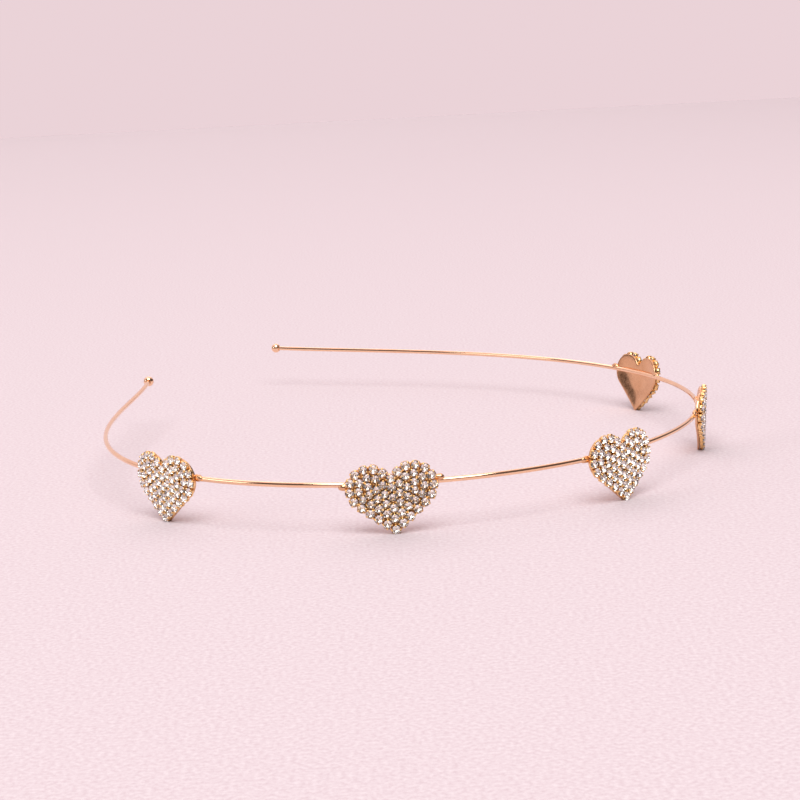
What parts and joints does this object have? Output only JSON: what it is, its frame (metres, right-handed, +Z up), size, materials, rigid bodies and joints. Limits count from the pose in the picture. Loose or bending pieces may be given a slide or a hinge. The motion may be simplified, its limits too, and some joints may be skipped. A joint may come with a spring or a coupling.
{
  "type": "heart headband",
  "caption": "Open springy wire headband that holds the hair, with stone-set hearts along its outer side and a small ball on each end. It lies on the tips of its hearts.",
  "frame": {"origin": "centre of the bounding box in plan, at the surface that the hearts' tips stand on", "axes": "+Z up from the surface, -Y the way the middle of the band faces, +Y the open side, X across the head"},
  "size_m": [0.1398, 0.1582, 0.0135],
  "materials": {
    "gold": "polished rose-gold plating",
    "crystal": "clear cut stones with foil backs in gold claw cups"
  },
  "bodies": {
    "root": {"band": "gold", "heart_stones_1": "crystal", "heart_stones_2": "crystal", "heart_stones_3": "crystal", "heart_stones_4": "crystal", "heart_stones_5": "crystal", "end_ball_1": "gold", "end_ball_2": "gold"}
  },
  "joints": []
}
